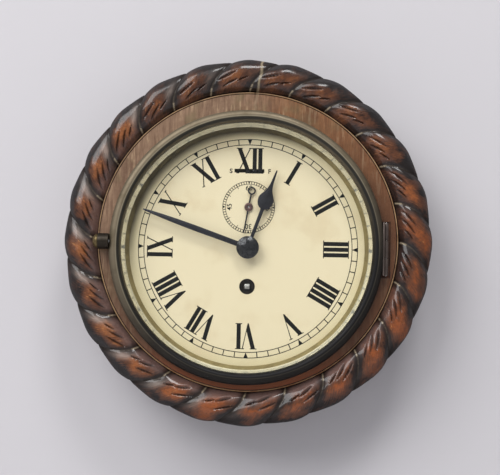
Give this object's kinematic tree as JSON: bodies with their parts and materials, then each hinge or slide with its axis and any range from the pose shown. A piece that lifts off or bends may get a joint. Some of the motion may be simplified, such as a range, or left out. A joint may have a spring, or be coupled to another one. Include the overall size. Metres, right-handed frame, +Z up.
{
  "type": "marine clock",
  "caption": "Round brass marine wall clock with a hinged glazed bezel, seconds dial and winding hole, set in a wooden surround carved as a twisted rope.",
  "frame": {"origin": "the centre of the round wooden surround on the wall plane, at the back face of its back board", "axes": "+Z up, -Y out of the wall towards the viewer, +X to the viewer's right"},
  "size_m": [0.3174, 0.0723, 0.3174],
  "materials": {
    "carved_wood": "dark stained, worn satin",
    "board_wood": "plain, unpolished",
    "dark_brass": "darkened by age, satin",
    "bright_brass": "lacquered, satin",
    "polished_rim": "polished, silvered",
    "dial_paint": "cream, aged",
    "blued_steel": "blued almost black",
    "bright_steel": "satin",
    "spring_steel": "blued",
    "clear_glass": "clear, polished"
  },
  "bodies": {
    "case": {"surround_left_half": "carved_wood", "surround_right_half": "carved_wood", "back_board": "board_wood", "hanging_plate": "bright_brass", "hanging_plate_screw_1": "bright_steel", "hanging_plate_screw_2": "bright_steel", "case_drum": "dark_brass", "case_back": "bright_brass", "case_screw_1": "bright_steel", "case_screw_2": "bright_steel", "case_screw_3": "bright_steel", "sight_ring": "bright_brass", "hinge_case_leaf": "blued_steel", "hinge_pin": "bright_steel", "catch_lug": "bright_brass", "dial": "dial_paint", "front_plate": "bright_brass", "back_plate": "bright_brass", "pillar_nut_1": "bright_steel", "pillar_nut_2": "bright_steel", "pillar_nut_3": "bright_steel", "pillar_nut_4": "bright_steel", "movement_screw_1": "bright_steel", "movement_screw_2": "bright_steel", "click_spring": "spring_steel", "click_screw": "bright_steel", "platform_plate": "bright_brass", "escape_potence": "bright_brass", "train_cock": "bright_brass", "balance_cock": "bright_brass"},
    "glazed_bezel": {"bezel": "dark_brass", "glass": "clear_glass", "glass_retaining_ring": "polished_rim", "hinge_bezel_leaf": "blued_steel"},
    "thumb_screw_shank": {"catch_spindle": "bright_steel"},
    "thumb_screw_knob": {"catch_knob": "dark_brass"},
    "centre_arbor": {"centre_arbor": "bright_steel", "centre_wheel": "bright_brass", "cannon_pinion": "bright_steel", "minute_hand": "blued_steel", "hand_boss": "blued_steel"},
    "hour_work": {"hour_wheel": "bright_brass", "hour_hand": "blued_steel"},
    "minute_wheel": {"minute_wheel": "bright_brass"},
    "third_arbor": {"third_arbor": "bright_steel", "third_wheel": "bright_brass"},
    "fourth_arbor": {"fourth_arbor": "bright_steel", "contrate_wheel": "bright_brass", "seconds_hand": "blued_steel"},
    "going_barrel": {"going_barrel": "bright_brass", "barrel_lid": "bright_brass", "mainspring": "spring_steel"},
    "escape_wheel": {"escape_wheel": "bright_steel"},
    "pallet_lever": {"pallet_lever": "bright_steel"},
    "balance": {"balance_wheel": "bright_brass", "hairspring": "spring_steel"},
    "regulator_index": {"regulator_index": "bright_steel"},
    "winding_arbor": {"winding_arbor": "bright_steel", "ratchet_wheel": "bright_steel"},
    "click": {"click": "bright_steel"}
  },
  "joints": [
    {"name": "bezel_hinge", "type": "hinge", "parent": "case", "child": "glazed_bezel", "pos_m": [0.1185, -0.0607, -0.0057], "axis": [0, 0, 1], "range_deg": [0, 100]},
    {"name": "thumb_screw_slide", "type": "slide", "parent": "glazed_bezel", "child": "thumb_screw_shank", "axis": [-1, 0, 0], "range_m": [0, 0.002]},
    {"name": "thumb_screw_turn", "type": "hinge", "parent": "thumb_screw_shank", "child": "thumb_screw_knob", "pos_m": [-0.125, -0.0655, -0.0033], "axis": [-1, 0, 0], "range_deg": [0, 1028.6]},
    {"name": "minute_turn", "type": "hinge", "parent": "case", "child": "centre_arbor", "pos_m": [0, -0.05, -0.0057], "axis": [0, 1, 0], "continuous": true},
    {"name": "hour_turn", "type": "hinge", "parent": "case", "child": "hour_work", "pos_m": [0, -0.05, -0.0057], "axis": [0, 1, 0], "continuous": true},
    {"name": "minute_wheel_turn", "type": "hinge", "parent": "case", "child": "minute_wheel", "pos_m": [0.012, -0.042, -0.0057], "axis": [0, 1, 0], "continuous": true},
    {"name": "third_wheel_turn", "type": "hinge", "parent": "case", "child": "third_arbor", "pos_m": [0.00486, -0.03, 0.0135], "axis": [0, 1, 0], "continuous": true},
    {"name": "seconds_turn", "type": "hinge", "parent": "case", "child": "fourth_arbor", "pos_m": [0, -0.03, 0.0298], "axis": [0, 1, 0], "continuous": true},
    {"name": "barrel_turn", "type": "hinge", "parent": "case", "child": "going_barrel", "pos_m": [0, -0.03, -0.039], "axis": [0, 1, 0], "continuous": true},
    {"name": "escape_turn", "type": "hinge", "parent": "case", "child": "escape_wheel", "pos_m": [0, -0.02053, 0.0443], "axis": [0, 0, 1], "continuous": true},
    {"name": "lever_swing", "type": "hinge", "parent": "case", "child": "pallet_lever", "pos_m": [0, -0.02582, 0.0533], "axis": [0, 0, 1], "range_deg": [-4, 4]},
    {"name": "balance_swing", "type": "hinge", "parent": "case", "child": "balance", "pos_m": [0, -0.03002, 0.0563], "axis": [0, 0, 1], "range_deg": [-135, 135], "stiffness_Nm_per_rad": 0.00002},
    {"name": "regulator_swing", "type": "hinge", "parent": "case", "child": "regulator_index", "pos_m": [0, -0.03002, 0.0613], "axis": [0, 0, 1], "range_deg": [-36, 16]},
    {"name": "winding_turn", "type": "hinge", "parent": "case", "child": "winding_arbor", "pos_m": [0, -0.045, -0.039], "axis": [0, 1, 0], "range_deg": [-1440, 0]},
    {"name": "click_lift", "type": "hinge", "parent": "case", "child": "click", "pos_m": [0.0066, -0.042, -0.02958], "axis": [0, 1, 0], "range_deg": [0, 8], "stiffness_Nm_per_rad": 0.002, "springref_deg": -2.86}
  ],
  "couplings": [
    {"joint": "thumb_screw_turn", "follows": "thumb_screw_slide", "rad_per_m": 8976},
    {"joint": "hour_turn", "follows": "minute_turn", "ratio": 0.083333},
    {"joint": "minute_wheel_turn", "follows": "minute_turn", "ratio": -0.33333},
    {"joint": "third_wheel_turn", "follows": "minute_turn", "ratio": -8},
    {"joint": "seconds_turn", "follows": "minute_turn", "ratio": 60},
    {"joint": "barrel_turn", "follows": "minute_turn", "ratio": -0.083333},
    {"joint": "escape_turn", "follows": "minute_turn", "ratio": 480}
  ]
}
